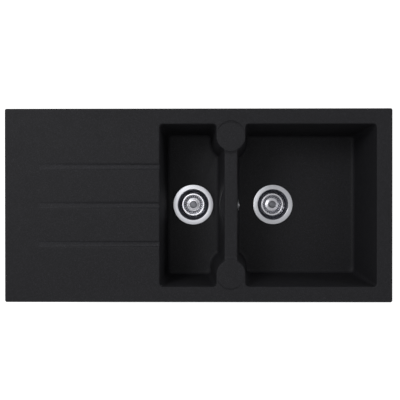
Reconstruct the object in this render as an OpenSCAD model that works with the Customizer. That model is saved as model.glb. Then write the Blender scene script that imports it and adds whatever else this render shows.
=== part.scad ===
// One and a half bowl inset kitchen sink with drainer, moulded in granite composite.
// Origin: centre of the rim's plan, on the worktop's surface. +Z up, drainer towards -X.
// All sizes in millimetres.

/* [Rim and drainer] */
// Length of the drainer, from the rim's left edge to the half bowl
drainer_l = 400; // [320:5:480]
// Width of the border round the bowls
border_w = 40; // [36:1:46]
// Height of the rim's outer edge above the worktop
rim_h = 9; // [8:0.5:12]
// Fall of the border from its outer edge to the bowls
border_fall = 2; // [1:0.25:3]
// Plan radius of the rim's corners
rim_corner_r = 5; // [4:1:20]
// Radius of the rim's upper edge
rim_edge_r = 2.5; // [1:0.25:3]
// Fall of the drainer from its left end to the half bowl
drainer_fall = 1.4; // [0.5:0.1:3]
// Number of channels in the drainer
channel_n = 3; // [2:1:4]
// Width of a channel at full depth
channel_w = 15; // [10:1:20]
// Depth of a channel where it meets the half bowl
channel_depth = 3.5; // [2:0.25:4]
// Distance between the centrelines of two channels
channel_pitch = 100; // [70:5:105]
// Length of a channel
channel_l = 312; // [200:4:320]

/* [Bowls] */
// Length of the half bowl's opening
half_l = 168; // [160:1:200]
// Length of the main bowl's opening
main_l = 359; // [300:1:400]
// Width of both bowls, front to back
bowl_w = 420; // [380:5:460]
// Depth of the half bowl, rim to waste
half_depth = 172; // [140:1:190]
// Depth of the main bowl, rim to waste
main_depth = 195; // [170:1:220]
// Draft angle of the bowl walls
draft = 4; // [2:0.5:4.5]
// Thickness of the walls
wall = 8; // [7:0.5:9]
// Thickness of the floors round the wastes
floor_t = 9; // [8:0.5:12]
// Fall of the floors to the wastes
floor_fall = 5; // [3:0.5:8]
// Plan radius of the bowls' corners
corner_r = 9; // [7:1:12]
// Radius between walls and floor
floor_r = 12; // [10:1:14]
// Radius of the edge where deck and bowl meet
lip_r = 3; // [2:0.5:4]
// Distance from the main bowl's divider wall to its waste
main_drain_off = 113; // [95:1:150]

/* [Bridge and tap ledges] */
// Width of the bridge between the bowls
bridge_w = 33; // [30:1:40]
// Depth of the bridge below the rim
bridge_drop = 8; // [5:0.5:10]
// Radius of a tap ledge
ledge_r = 37.6; // [34:0.2:40]
// Depth of the tap ledges below the rim
ledge_drop = 3.2; // [2.5:0.1:4.5]
// Distance from a tap ledge's centre to the border beside it
ledge_in = 32; // [30:0.5:36]
// Diameter of a tap's hole, knocked out from below
tap_d = 35; // [32:0.5:38]
// Material left over a tap's hole until it is knocked out
tap_web = 5; // [3:0.5:6]

/* [Overflow] */
// Depth of the overflow's centre below the rim
overflow_depth = 54; // [45:1:70]
// Diameter of the hole for the overflow
overflow_d = 28; // [24:1:30]
// How far the half bowl's wall bulges round the overflow's housing
bulge = 10; // [6:1:12]
// Length of that bulge along the wall
bulge_l = 93; // [80:1:110]
// Diameter of the overflow's rose
rose_d = 33; // [32:1:38]
// Diameter of the overflow's housing behind the wall
housing_d = 54; // [46:1:58]
// Depth of the overflow's housing behind the wall
housing_depth = 17; // [14:0.5:19]
// Outer diameter of the overflow hose at its ribs
hose_d = 23; // [20:0.5:25]
// Depth of the hose's ribs
rib_h = 1.6; // [1:0.1:2]
// Distance between the hose's ribs
rib_pitch = 5; // [4:0.5:8]
// Wall of the hose
hose_wall = 1.4; // [1:0.1:2]
// Radius of the hose's bend, to its centre
hose_bend_r = 34; // [30:1:40]

/* [Strainer wastes] */
// Diameter of the waste's flange
flange_d = 114; // [108:1:118]
// Diameter of the hole in the bowl's floor
drain_d = 90; // [88:0.5:92]
// Thickness of the pressed steel
steel_t = 1; // [0.8:0.1:1.2]
// Diameter of the flange's mouth
mouth_d = 87; // [84:1:88]
// Diameter of the strainer's cup below its cone
cup_d = 70; // [68:1:74]
// Depth of the cone between mouth and cup
cone_depth = 12; // [8:0.5:14]
// Depth of the cup's floor below the bowl's floor
cup_depth = 38; // [36:1:44]
// Diameter of the outlet in the cup's floor
plug_d = 44; // [40:1:46]
// Outer diameter of the basket's rim
basket_d = 65; // [60:0.5:66]
// Diameter of the basket's mouth
basket_mouth_d = 54; // [50:0.5:56]
// Diameter of the basket's floor
basket_floor_d = 42; // [38:0.5:44]
// Number of slots in the basket
slot_n = 24; // [12:2:28]
// Width of a slot in the basket
slot_w = 2.6; // [1.5:0.1:3]
// Diameter of the basket's knob
knob_d = 21; // [18:0.5:24]
// Thickness of the flange's seal
flange_seal_t = 1; // [0.8:0.1:1.5]
// Thickness of the seal between waste body and bowl
body_seal_t = 3; // [2:0.5:4]
// Outer diameter of the outlet's thread
outlet_d = 47.8; // [47:0.1:48]
// Bore of the outlet
outlet_bore = 40; // [38:0.5:42]
// Length of the outlet's threaded end
outlet_l = 28; // [20:1:35]

/* [Fixing] */
// Width of rim that rests on the worktop
overlap = 10; // [9:0.5:12]
// Thickness of the worktop that the clips are set for
worktop_t = 38; // [28:1:40]
// Width of the foam seal
seal_w = 7; // [5:0.5:8]
// Thickness of the foam seal
seal_t = 2; // [1.5:0.1:2.5]
// Distance from the bowls' outer walls to a clip's screw
clip_off = 10; // [10:0.5:12]
// Diameter of a clip's screw
screw_d = 5; // [4:0.5:6]
// Width of a clip
clip_w = 16; // [14:0.5:18]
// Thickness of a clip's steel
clip_t = 2; // [1.5:0.25:2.5]
// Reach of a clip from its screw to its toe
clip_reach = 38; // [32:1:45]
// Turn of the clips, 0 parked and 90 gripping
clip_turn = 0; // [0:5:90]

/* [Hidden] */
// Levels and lines of the plan
rim_l = drainer_l + half_l + bridge_w + main_l + border_w;
rim_w = bowl_w + 2 * border_w;
half_far_x = drainer_l - rim_l / 2;
half_near_x = half_far_x + half_l;
main_near_x = half_near_x + bridge_w;
main_far_x = main_near_x + main_l;
bridge_x = half_near_x + bridge_w / 2;
ledge_y = bowl_w / 2 - ledge_in;
edge_z = rim_h - border_fall;
ledge_z = rim_h - ledge_drop;
bridge_z = rim_h - bridge_drop;
border_slope = atan(border_fall / border_w);
drainer_slope = atan(drainer_fall / drainer_l);
channel_slope = atan(channel_depth / channel_l);
half_drain = [(half_far_x + half_near_x) / 2, 0, rim_h - half_depth];
main_drain = [main_near_x + main_drain_off, 0, rim_h - main_depth];
ledge_side = ledge_r - bridge_w / 2;
// The clearances that fits and seats share
gap = 0.3;
cut = 1;
far = 2 * rim_l;
// Roundness of the lofted corners, in steps
corner_n = 5;
ledge_n = 8;
blend_n = 3;
bulge_n = 12;
blend_r = 5;
// The bulge: its plan is an arc, its front stands upright, its top is a slope
bulge_arc_r = (bulge_l * bulge_l / 4 + bulge * bulge) / (2 * bulge);
bulge_top_z = bridge_z - lip_r - 3;
bulge_full_z = bulge_top_z - 9;
bulge_end_z = rim_h - min(half_depth - floor_r - floor_fall - 4, bulge / tan(draft));
// Seats of the wastes, measured down from the bowl's floor at the waste
seat_d = flange_d + 3;
seat_depth = flange_seal_t + steel_t / 2;
// Radial clearance of pieces that are moulded or pressed in
fit = 0.05;
// Underside: where the bowls' walls run into the rim, and the plates under bridge and drainer
shell_top_z = 2;
bridge_plate_z = -9;
drainer_plate_z = -2;
inside_l = rim_l - 2 * overlap - 6;
inside_w = rim_w - 2 * overlap - 6;
seal_in = 2;
boss_d = 15;
boss_z = -18;
insert_d = 8;
insert_l = 11;
rib_w = 7;
rib_z = -16;
// Clips: pairs along the two long sides, then one at each end
clip_y = bowl_w / 2 + wall + clip_off;
clip_x = main_far_x + wall + clip_off;
clip_xs = [-0.74 * rim_l / 2, half_near_x - 0.52 * half_l, main_far_x - 0.36 * main_l];
clip_places = concat(
    [for (x = clip_xs) [x, clip_y, 90]],
    [for (x = clip_xs) [x, -clip_y, -90]],
    [[-clip_x, 0, 180], [clip_x, 0, 0]]);
clip_heel = 7.5;
toe_h = 11;
clip_top_z = -worktop_t - toe_h;
head_t = 3.5;
head_d = 10;

// Points of an arc about c, from angle a0 to a1 in n steps
function arc(c, r, a0, a1, n) =
    [for (i = [0:n]) let (a = a0 + (a1 - a0) * i / n) c + r * [cos(a), sin(a)]];

// Smooth step from 0 at a to 1 at b
function ease(t, a, b) = let (s = max(0, min(1, (t - a) / (b - a)))) s * s * (3 - 2 * s);

// Inset of a drafted wall at height z
function inset(z) = (edge_z - z) * tan(draft);

// How far the bulge stands in front of a wall that is inset by d, at place v and height z
function bulge_out(v, z, d) =
    let (front = bulge - bulge_arc_r + sqrt(max(0, bulge_arc_r * bulge_arc_r - v * v)))
    max(0, front - d) * ease(-z, -bulge_top_z, -bulge_full_z) * ease(z, bulge_end_z - 1, bulge_end_z);

// Where the fillet between ledge and bridge side is centred, along the wall
function blend_v(d, rb) =
    let (r = ledge_r + d + rb, u = d + rb + bridge_w / 2) ledge_y - sqrt(r * r - u * u);

// Outline of a bowl inset by d, counterclockwise in u (from the divider wall) and v.
// t is how far it lies behind the inside surface: 0 inside, the wall's thickness outside.
// The wall goes round both tap ledges, and the half bowl's also round the bulge.
function outline(l, d, rc, t, bulges, z) =
    let (
        rb = blend_r + t,
        w = bowl_w / 2 - d,
        s = ledge_side + d,
        r = ledge_r + d,
        v = blend_v(d, rb),
        a = acos((d + rb + bridge_w / 2) / (r + rb)),
        a0 = max(4, asin((ledge_y - w + rc) / r) + 2),
        n = bulges ? bulge_n : 2,
        span = bulges ? bulge_l / 2 : v / 2)
    concat(
        arc([s + rc, -w + rc], rc, 180, 270, corner_n),
        arc([l - d - rc, -w + rc], rc, 270, 360, corner_n),
        arc([l - d - rc, w - rc], rc, 0, 90, corner_n),
        arc([s + rc, w - rc], rc, 90, 180, corner_n),
        arc([-bridge_w / 2, ledge_y], r, -a0, -a, ledge_n),
        arc([d + rb, v], rb, 180 - a + a / blend_n, 180, blend_n - 1),
        [for (i = [0:n]) let (p = span * (1 - 2 * i / n)) [d + (bulges ? bulge_out(p, z, d + t) : 0), p]],
        arc([d + rb, -v], rb, 180, 180 + a - a / blend_n, blend_n - 1),
        arc([-bridge_w / 2, -ledge_y], r, a, a0, ledge_n));

// Height of the deck beside a point of the outline
function deck_at(p) =
    abs(p[1]) < blend_v(0, blend_r) + blend_r / 2 && p[0] < ledge_side / 2 ? bridge_z
    : p[0] < ledge_side + 1 && abs(p[1]) < ledge_y + 0.6 * ledge_in ? ledge_z
    : edge_z;

// One ring of a loft: the outline at height z, or at deck height less z where on_deck is true
function ring(l, d, rc, t, bulges, z, on_deck) =
    let (base = outline(l, 0, corner_r, 0, bulges, 0))
    let (o = outline(l, d, rc, t, bulges, on_deck ? 0 : z))
    [for (i = [0:len(o) - 1]) [o[i][0], o[i][1], on_deck ? deck_at(base[i]) - z : z]];

// Last ring: the flat round about the waste at c, its points on the same rays as the outline's
function waste_ring(l, d, rc, t, bulges, c, z) =
    let (r = min(seat_d / 2 + 1, min(c[0], l - c[0]) - d - 0.5))
    [for (p = outline(l, d, rc, t, bulges, z))
        let (q = (p - c) / norm(p - c)) [c[0] + r * q[0], c[1] + r * q[1], z]];

// A closed solid through rings of equally many points, the first one on top
module loft(rings) {
    n = len(rings[0]);
    m = len(rings);
    polyhedron(
        points = [for (r = rings) each r],
        faces = concat(
            [[for (i = [n - 1:-1:0]) i]],
            [for (k = [0:m - 2], i = [0:n - 1]) each
                let (a = k * n + i, b = k * n + (i + 1) % n) [[a, b, b + n], [a, b + n, a + n]]],
            [[for (i = [0:n - 1]) (m - 1) * n + i]]));
}

// Rings of a bowl's inside: rounded lip, drafted wall, fillet, floor falling to the waste
function bowl_rings(l, depth, c, bulges) =
    let (
        zf = rim_h - depth + floor_fall,
        zw = zf + floor_r,
        dw = inset(zw),
        rr = floor_r * (1 - sin(draft)))
    concat(
        [ring(l, -lip_r, corner_r + lip_r, 0, bulges, rim_h + cut, false)],
        [for (a = [0, 45, 90]) let (e = lip_r * (1 - sin(a)))
            ring(l, -e, corner_r + e, 0, bulges, lip_r * (1 - cos(a)), true)],
        bulges ? [for (z = [bulge_top_z, bulge_full_z, bulge_end_z])
            ring(l, inset(z), corner_r + 1, 0, bulges, z, false)] : [],
        [for (a = [0, 30, 60, 90])
            ring(l, dw + rr * (1 - cos(a)), corner_r + 5, 0, bulges, zw - floor_r * sin(a), false)],
        [waste_ring(l, dw + rr, corner_r + 5, 0, bulges, c, rim_h - depth)]);

// Rings of a bowl's outside, one wall thickness away
function shell_rings(l, depth, c, bulges) =
    let (
        zf = rim_h - depth + floor_fall - floor_t,
        ro = floor_r + wall / 2,
        zw = zf + ro,
        dw = inset(zw) - wall,
        rr = ro * (1 - sin(draft)))
    concat(
        [ring(l, inset(shell_top_z) - wall, corner_r + wall, wall, bulges, shell_top_z, false)],
        bulges ? [for (z = [bulge_top_z, bulge_full_z, bulge_end_z])
            ring(l, inset(z) - wall, corner_r + wall, wall, bulges, z, false)] : [],
        [for (a = [0, 45, 90])
            ring(l, dw + rr * (1 - cos(a)), corner_r + wall, wall, bulges, zw - ro * sin(a), false)],
        [waste_ring(l, dw + rr, corner_r + wall, wall, bulges, c, rim_h - depth - floor_t)]);

// Puts a bowl in its place: the half bowl is mirrored, so that both grow away from the bridge
module at_half() {
    translate([half_near_x, 0, 0]) mirror([1, 0, 0]) children();
}

module at_main() {
    translate([main_near_x, 0, 0]) children();
}

half_c = [half_near_x - half_drain[0], 0];
main_c = [main_drain_off, 0];

// Rounded rectangle ring at height z
function rim_ring(l, w, r, z) =
    [for (p = concat(
        arc([l / 2 - r, w / 2 - r], r, 0, 90, 4), arc([r - l / 2, w / 2 - r], r, 90, 180, 4),
        arc([r - l / 2, r - w / 2], r, 180, 270, 4), arc([l / 2 - r, r - w / 2], r, 270, 360, 4)))
        [p[0], p[1], z]];

module rim_slab() {
    e = rim_edge_r;
    loft(concat(
        [for (a = [90, 60, 30, 0]) rim_ring(rim_l - 2 * e * (1 - cos(a)), rim_w - 2 * e * (1 - cos(a)),
            rim_corner_r - e * (1 - cos(a)), rim_h - e * (1 - sin(a)))],
        [rim_ring(rim_l, rim_w, rim_corner_r, 1), rim_ring(rim_l - 1, rim_w - 1, rim_corner_r - 0.5, 0)]));
}

// Everything above a sloping plane that passes through p, turned by the angles a
module above(p, a) {
    translate(p) rotate(a) translate([-far, -far, 0]) cube([2 * far, 2 * far, far]);
}

// The air over the deck: four falling borders and the drainer's plane
module deck_air() {
    intersection() {
        above([0, rim_w / 2, rim_h], [border_slope, 0, 0]);
        above([0, -rim_w / 2, rim_h], [-border_slope, 0, 0]);
        above([rim_l / 2, 0, rim_h], [0, -border_slope, 0]);
        above([-rim_l / 2, 0, rim_h], [0, border_slope, 0]);
        above([half_far_x, 0, edge_z], [0, drainer_slope, 0]);
        translate([-rim_l, -rim_w, 0]) cube([2 * rim_l, 2 * rim_w, rim_h + cut]);
    }
}

// One drainer channel: flat bottom, leaning sides, deeper towards the bowl
module channel() {
    side = channel_depth * 0.6;
    b = channel_w / 2 - side;
    h = channel_depth + 2;
    t = b + side * h / channel_depth;
    translate([half_far_x, 0, edge_z - channel_depth]) rotate([0, drainer_slope + channel_slope, 0])
        rotate([90, 0, -90]) translate([0, 0, -lip_r - cut])
            linear_extrude(channel_l + lip_r + cut) polygon([[-b, 0], [b, 0], [t, h], [-t, h]]);
}

module bridge_air() {
    difference() {
        translate([half_near_x - cut, -ledge_y, bridge_z]) cube([bridge_w + 2 * cut, 2 * ledge_y, far]);
        for (s = [-1, 1]) translate([bridge_x, s * ledge_y, 0]) cylinder(r = ledge_r, h = far, center = true);
    }
}

module rib_section(z) {
    polygon([[-rib_w / 2 - 1, 0], [-rib_w / 2, z], [rib_w / 2, z], [rib_w / 2 + 1, 0]]);
}

module drainer_ribs() {
    x0 = -inside_l / 2 + 20;
    l = half_far_x - wall - x0;
    for (s = [-1.5, -0.5, 0.5, 1.5])
        translate([x0, s * channel_pitch, 0]) rotate([90, 0, 90]) linear_extrude(l)
            rib_section(rib_z);
    for (i = [0, 1, 2])
        translate([x0 + l * (0.1 + 0.4 * i), 1.5 * channel_pitch, 0]) rotate([90, 0, 0])
            linear_extrude(3 * channel_pitch)
                rib_section(rib_z + 4);
}

// A boss under the rim for one clip, braced back to the body
module clip_boss() {
    translate([0, 0, boss_z]) cylinder(d = boss_d, h = -boss_z + 2);
    translate([-boss_d, -boss_d / 2, boss_z]) cube([boss_d, boss_d, -boss_z + 2]);
}

module sink_body() color("#2b2b2d") {
    difference() {
        union() {
            rim_slab();
            translate([-inside_l / 2, -inside_w / 2, drainer_plate_z])
                cube([half_far_x + inside_l / 2, inside_w, 1 - drainer_plate_z]);
            translate([half_near_x - wall, -bowl_w / 2 - wall, bridge_plate_z])
                cube([bridge_w + 2 * wall, bowl_w + 2 * wall, 1 - bridge_plate_z]);
            at_half() loft(shell_rings(half_l, half_depth, half_c, true));
            at_main() loft(shell_rings(main_l, main_depth, main_c, false));
            drainer_ribs();
            for (p = clip_places) translate([p[0], p[1], 0]) rotate(p[2]) clip_boss();
        }
        deck_air();
        bridge_air();
        at_half() loft(bowl_rings(half_l, half_depth, half_c, true));
        at_main() loft(bowl_rings(main_l, main_depth, main_c, false));
        for (i = [0:channel_n - 1])
            translate([0, (i - (channel_n - 1) / 2) * channel_pitch, 0]) channel();
        for (s = [-1, 1]) translate([bridge_x, s * ledge_y, 0]) {
            translate([0, 0, ledge_z]) cylinder(r = ledge_r, h = far);
            translate([0, 0, ledge_z - tap_web - far]) cylinder(d = tap_d, h = far);
        }
        for (d = [half_drain, main_drain]) translate(d) {
            translate([0, 0, -seat_depth]) cylinder(d = seat_d, h = floor_fall + seat_depth);
            translate([0, 0, -far / 2]) cylinder(d = drain_d, h = far / 2 + cut);
        }
        at_overflow() cylinder(d = overflow_d, h = 3 * wall, center = true);
        translate([0, 0, -cut]) seal_band(seal_t + cut, seal_in - gap, seal_w + 2 * gap);
        for (p = clip_places) translate([p[0], p[1], boss_z - cut])
            cylinder(d = insert_d + 2 * fit, h = insert_l + cut);
    }
}

// A flat ring that follows the rim's edge, h high, in from the edge by a and w wide
module seal_band(h, a, w) {
    difference() {
        translate([a - rim_l / 2, a - rim_w / 2, 0]) cube([rim_l - 2 * a, rim_w - 2 * a, h]);
        translate([a + w - rim_l / 2, a + w - rim_w / 2, -cut])
            cube([rim_l - 2 * a - 2 * w, rim_w - 2 * a - 2 * w, h + 2 * cut]);
    }
}

module rim_seal() color("#3a3a3c") seal_band(seal_t, seal_in, seal_w);

module clip_inserts() color("#b08d4a")
    for (p = clip_places) translate([p[0], p[1], boss_z]) difference() {
        cylinder(d = insert_d, h = insert_l);
        translate([0, 0, -cut]) cylinder(d = screw_d + 2 * fit, h = insert_l + 2 * cut);
    }

// A clip's screw: shank up into its insert, pan head under the clip
module clip_screw() {
    translate([0, 0, clip_top_z - clip_t - gap]) {
        cylinder(d = screw_d, h = boss_z + insert_l - 2 - (clip_top_z - clip_t - gap));
        difference() {
            translate([0, 0, -head_t]) cylinder(d = head_d, h = head_t);
            for (a = [0, 90]) rotate(a) translate([-3, -0.6, -head_t - cut]) cube([6, 1.2, 1.5 + cut]);
        }
    }
}

module clip_screws() color("#c8c9cb") for (p = clip_places) translate([p[0], p[1], 0]) clip_screw();

// One clip, pointing along +X: heel up to the boss, arm, toothed toe under the worktop
module clip_shape() {
    heel_top = boss_z - gap;
    toe_top = clip_top_z + toe_h - gap;
    difference() {
        translate([0, clip_w / 2, 0]) rotate([90, 0, 0]) linear_extrude(clip_w) polygon([
            [-clip_heel, heel_top], [-clip_heel, clip_top_z - clip_t], [clip_reach, clip_top_z - clip_t],
            [clip_reach, toe_top], [clip_reach - clip_t, toe_top], [clip_reach - clip_t, clip_top_z],
            [clip_t - clip_heel, clip_top_z], [clip_t - clip_heel, heel_top]]);
        translate([0, 0, clip_top_z - clip_t - cut]) cylinder(d = screw_d + 2 * gap, h = clip_t + 2 * cut);
        for (i = [-2:2]) translate([clip_reach - clip_t / 2, i * clip_w / 5, toe_top])
            rotate([45, 0, 0]) cube([clip_t + cut, 1.8, 1.8], center = true);
        for (s = [-1, 1]) translate([0, s * (clip_w / 2 + 3), clip_top_z + 13])
            cube([3 * clip_heel, 10, 12], center = true);
    }
}

// Clip number k, parked along the rim and turned out by clip_turn
module clip(k) color("#c3c5c8") {
    p = clip_places[k];
    s = abs(p[2]) == 90 ? (p[1] > 0 ? -1 : 1) : (p[0] > 0 ? 1 : -1);
    translate([p[0], p[1], 0]) rotate(p[2] + s * (90 - clip_turn)) clip_shape();
}

// Strainer waste, in a frame whose z = 0 is the bowl's floor at the waste.
// Its hub is a well in the middle of the cup's floor, where the centre screw's head sits.
arm_w = 5;
hub_d = 15;
hub_z = -cup_depth - 6;
centre_screw_d = 6;

module strainer_cup() color("#b9bbbd") {
    t = steel_t;
    fz = flange_seal_t - seat_depth;
    m = mouth_d / 2;
    c = cup_d / 2;
    f = flange_d / 2;
    rotate_extrude($fn = 96) polygon([
        [f, fz], [f, fz + 0.4 * t], [f - 0.7 * t, fz + t], [m + 1.5, fz + 1.4 * t], [m + 0.4, fz + 1.1 * t],
        [m, fz], [c, -cone_depth], [c, -cup_depth], [plug_d / 2, -cup_depth],
        [plug_d / 2, -cup_depth - t], [c + t, -cup_depth - t], [c + t, -cone_depth - t * 0.3],
        [m + t, fz - t * 0.3], [m + t, fz]]);
    difference() {
        union() {
            for (a = [0, 60, 120]) rotate(a) translate([-plug_d / 2 - 1, -arm_w / 2, -cup_depth - 2 * t])
                cube([plug_d + 2, arm_w, 2 * t]);
            translate([0, 0, hub_z - t]) cylinder(d = hub_d + 4, h = -cup_depth - hub_z + t);
        }
        translate([0, 0, hub_z]) cylinder(d = hub_d, h = far);
        translate([0, 0, hub_z - 2 * t]) cylinder(d = centre_screw_d + 2 * gap, h = far);
    }
}

module flange_seal() color("#26262a") translate([0, 0, -seat_depth]) difference() {
    cylinder(d = flange_d - 3, h = flange_seal_t);
    translate([0, 0, -cut]) cylinder(d = drain_d + 1, h = flange_seal_t + 2 * cut);
}

module body_seal() color("#1c1c1e") translate([0, 0, -floor_t - body_seal_t]) difference() {
    cylinder(d = drain_d + 22, h = body_seal_t);
    translate([0, 0, -cut]) cylinder(d = drain_d + 2, h = body_seal_t + 2 * cut);
}

body_top = -floor_t - body_seal_t;
body_neck = -cup_depth - 32;
body_end = body_neck - outlet_l;
boss_top = hub_z - 4;
nut_d = 10.4;
nut_z = body_neck + 5;
spigot_z = -cup_depth - 21;
spigot_l = 44;
spigot_end = 16;
spigot_wall = 2;
hose_bore_d = hose_d - 2 * rib_h - 2 * hose_wall;
spigot_d = hose_bore_d - 4 * fit;
lug_n = 12;

// Plastic body under the bowl: funnel, cross piece for the centre screw, threaded outlet
module funnel_inside() {
    d = drain_d / 2;
    rotate_extrude($fn = 96) polygon([
        [0, body_top + cut], [d + 1, body_top + cut], [d + 1, body_top - 10], [d - 4, -cup_depth - 8],
        [outlet_bore / 2, body_neck + 2], [outlet_bore / 2, body_end - cut], [0, body_end - cut]]);
}

module waste_body(with_spigot) color("#1e1f22") {
    d = drain_d / 2;
    difference() {
        union() {
            rotate_extrude($fn = 96) polygon([
                [0, body_top], [d + 12, body_top], [d + 12, body_top - 7], [d + 4, body_top - 10],
                [d - 1, -cup_depth - 8], [outlet_d / 2 + 3, body_neck + 2], [outlet_d / 2 + 3, body_neck],
                [outlet_d / 2, body_neck], [outlet_d / 2, body_end], [0, body_end]]);
            for (i = [0:lug_n - 1])
                rotate(i * 360 / lug_n) translate([d + 11, -1.5, body_top - 7]) cube([3, 3, 7]);
            if (with_spigot) translate([0, 0, spigot_z]) rotate([0, -90, 0]) {
                cylinder(d = spigot_d + 3, h = spigot_l);
                cylinder(d = spigot_d, h = spigot_l + spigot_end);
            }
        }
        funnel_inside();
        if (with_spigot) translate([2 - outlet_bore / 2, 0, spigot_z]) rotate([0, -90, 0])
            cylinder(d = spigot_d - 2 * spigot_wall, h = far);
    }
    difference() {
        union() {
            intersection() {
                for (a = [45, 135]) rotate(a) translate([-d, -1.5, body_neck + 4])
                    cube([drain_d, 3, boss_top - body_neck - 8]);
                rotate_extrude($fn = 96) polygon([[0, boss_top], [d - 2, boss_top],
                    [outlet_bore / 2 + 1, body_neck + 2], [0, body_neck + 2]]);
            }
            translate([0, 0, body_neck + 4]) cylinder(d = nut_d + 5.6, h = boss_top - body_neck - 4);
        }
        translate([0, 0, nut_z]) cylinder(d = nut_d + 2 * fit, h = far);
    }
}

module waste_nut() color("#b08d4a") translate([0, 0, nut_z]) difference() {
    cylinder(d = nut_d, h = boss_top - nut_z - 1);
    translate([0, 0, -cut]) cylinder(d = centre_screw_d + 2 * fit, h = far);
}

// Centre screw: clamps cup and body together through the bowl's floor
module centre_screw() color("#c8c9cb") {
    difference() {
        translate([0, 0, hub_z]) cylinder(d = hub_d - 4, h = 3.2);
        translate([-hub_d / 2, -0.8, hub_z + 2]) cube([hub_d, 1.6, 3]);
    }
    translate([0, 0, nut_z + 3]) cylinder(d = centre_screw_d, h = hub_z - nut_z - 2.5);
}

basket_rim_z = -cone_depth - 2;
basket_floor_z = 4 - cup_depth;
basket_t = 0.8 * steel_t;
dish = 1.5;
stem_d = 6;
seal_web = 1.4;
nut_h = 2.2;
nut_top_z = basket_floor_z - basket_t - seal_web;
slot_foot = 2;
slot_head = 3;

// Basket: crowned rim, leaning wall with slots, dished floor
module basket() color("#cfd0d1") {
    t = basket_t;
    a = basket_d / 2;
    m = basket_mouth_d / 2;
    f = basket_floor_d / 2;
    difference() {
        rotate_extrude($fn = 96) polygon([
            [a, basket_rim_z - 2], [a, basket_rim_z - 0.6], [a - 1.5, basket_rim_z], [m + 1, basket_rim_z],
            [m, basket_rim_z - 0.8], [f, basket_floor_z + 1.2], [f - 2, basket_floor_z],
            [12, basket_floor_z + dish], [stem_d / 2 + gap, basket_floor_z + dish],
            [stem_d / 2 + gap, basket_floor_z + dish - t], [12, basket_floor_z + dish - t],
            [f - 1.6, basket_floor_z - t], [f + t, basket_floor_z + 0.8],
            [m + t, basket_rim_z - 1.4], [m + 1.4, basket_rim_z - t], [a - 1.6, basket_rim_z - t],
            [a - t, basket_rim_z - 1], [a - t, basket_rim_z - 2]]);
        for (i = [0:slot_n - 1]) rotate(i * 360 / slot_n)
            translate([f - 1, -slot_w / 2, basket_floor_z + slot_foot])
                cube([m - f + 3, slot_w, basket_rim_z - slot_head - basket_floor_z - slot_foot]);
    }
}

// Seal: a disc that covers the cup's outlet, hollow below round the nut
module basket_seal() color("#17171a") {
    z = gap - cup_depth;
    top = basket_floor_z - basket_t;
    rotate_extrude($fn = 96) polygon([
        [stem_d / 2 + fit, nut_top_z], [8, nut_top_z], [8, z], [plug_d / 2 + 3, z], [plug_d / 2 + 3, z + 1.2],
        [basket_floor_d / 2 - 1.5, top - 0.4], [basket_floor_d / 2 - 3, top], [12, top], [11, top + dish],
        [stem_d / 2 + fit, top + dish]]);
}

// Knob: waisted grip with a dished top, its stem through the basket's floor and the seal
module basket_knob() color("#9c9ea1") {
    z0 = basket_floor_z + dish;
    top = basket_rim_z + 4;
    r = knob_d / 2;
    rotate_extrude($fn = 96) polygon([
        [0, z0], [r - 1, z0], [r - 1, z0 + 1.5], [r - 4, z0 + 4], [r - 4.5, z0 + 9],
        [r - 1, top - 4], [r, top - 3], [r, top - 1], [r - 1, top], [r - 2, top], [r - 2.8, top - 1.2],
        [0, top - 0.4]]);
    translate([0, 0, nut_top_z - nut_h - 0.4]) cylinder(d = stem_d, h = z0 - nut_top_z + nut_h + 1);
}

module basket_nut() color("#b08d4a") translate([0, 0, nut_top_z - nut_h]) difference() {
    cylinder(d = 13, h = nut_h, $fn = 6);
    translate([0, 0, -cut]) cylinder(d = stem_d + 2 * fit, h = nut_h + 2 * cut);
}

// The overflow's own frame: z along the wall's normal into the main bowl, x up the wall
module at_overflow() {
    z = rim_h - overflow_depth;
    translate([main_near_x + inset(z), 0, z]) rotate([0, 90 - draft, 0]) rotate(180) children();
}

rose_h = 3.2;

module overflow_rose() color("#d6d7d9") at_overflow() difference() {
    rotate_extrude($fn = 72) polygon([
        [0, 1.2], [rose_d / 2 - 3, 1.2], [rose_d / 2 - 1, gap / 2], [rose_d / 2, gap / 2], [rose_d / 2, 1],
        [rose_d / 2 - 1.6, 2.6], [rose_d / 2 - 5, rose_h], [0, rose_h]]);
    for (i = [-2, -1, 1, 2]) translate([i * 4.6, 0, 0]) cube([2, abs(i) == 1 ? 20 : 14, 20], center = true);
    translate([0, 0, -cut]) cylinder(d = screw_d + 2 * gap, h = 10);
}

module overflow_screw() color("#c8c9cb") at_overflow() {
    difference() {
        translate([0, 0, rose_h]) cylinder(d1 = screw_d + 4, d2 = screw_d + 2.6, h = 1.3);
        for (a = [0, 90]) rotate(a) translate([-2.2, -0.5, rose_h + 0.5]) cube([4.4, 1, 2]);
    }
    translate([0, 0, wall_back - 9]) cylinder(d = screw_d, h = rose_h + 0.2 + 9 - wall_back);
}

// The wall's back and the housing's back, measured along the wall's normal
gasket_t = 2;
wall_back = -wall * cos(draft);
housing_back = wall_back - gasket_t - housing_depth;

module overflow_gasket() color("#1c1c1e") at_overflow()
    translate([0, 0, wall_back - gasket_t]) difference() {
    cylinder(d = housing_d - 4, h = gasket_t);
    translate([0, 0, -cut]) cylinder(d = overflow_d + 4, h = gasket_t + 2 * cut);
}

// Level of the spout's lower end, how far the hose goes on it, and the line down which the hose hangs
spout_z = rim_h - overflow_depth - housing_d / 2 - 13;
hose_on = 10;
hose_x = main_near_x + inset(rim_h - overflow_depth) - wall - gasket_t - housing_depth / 2 - 1;

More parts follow.
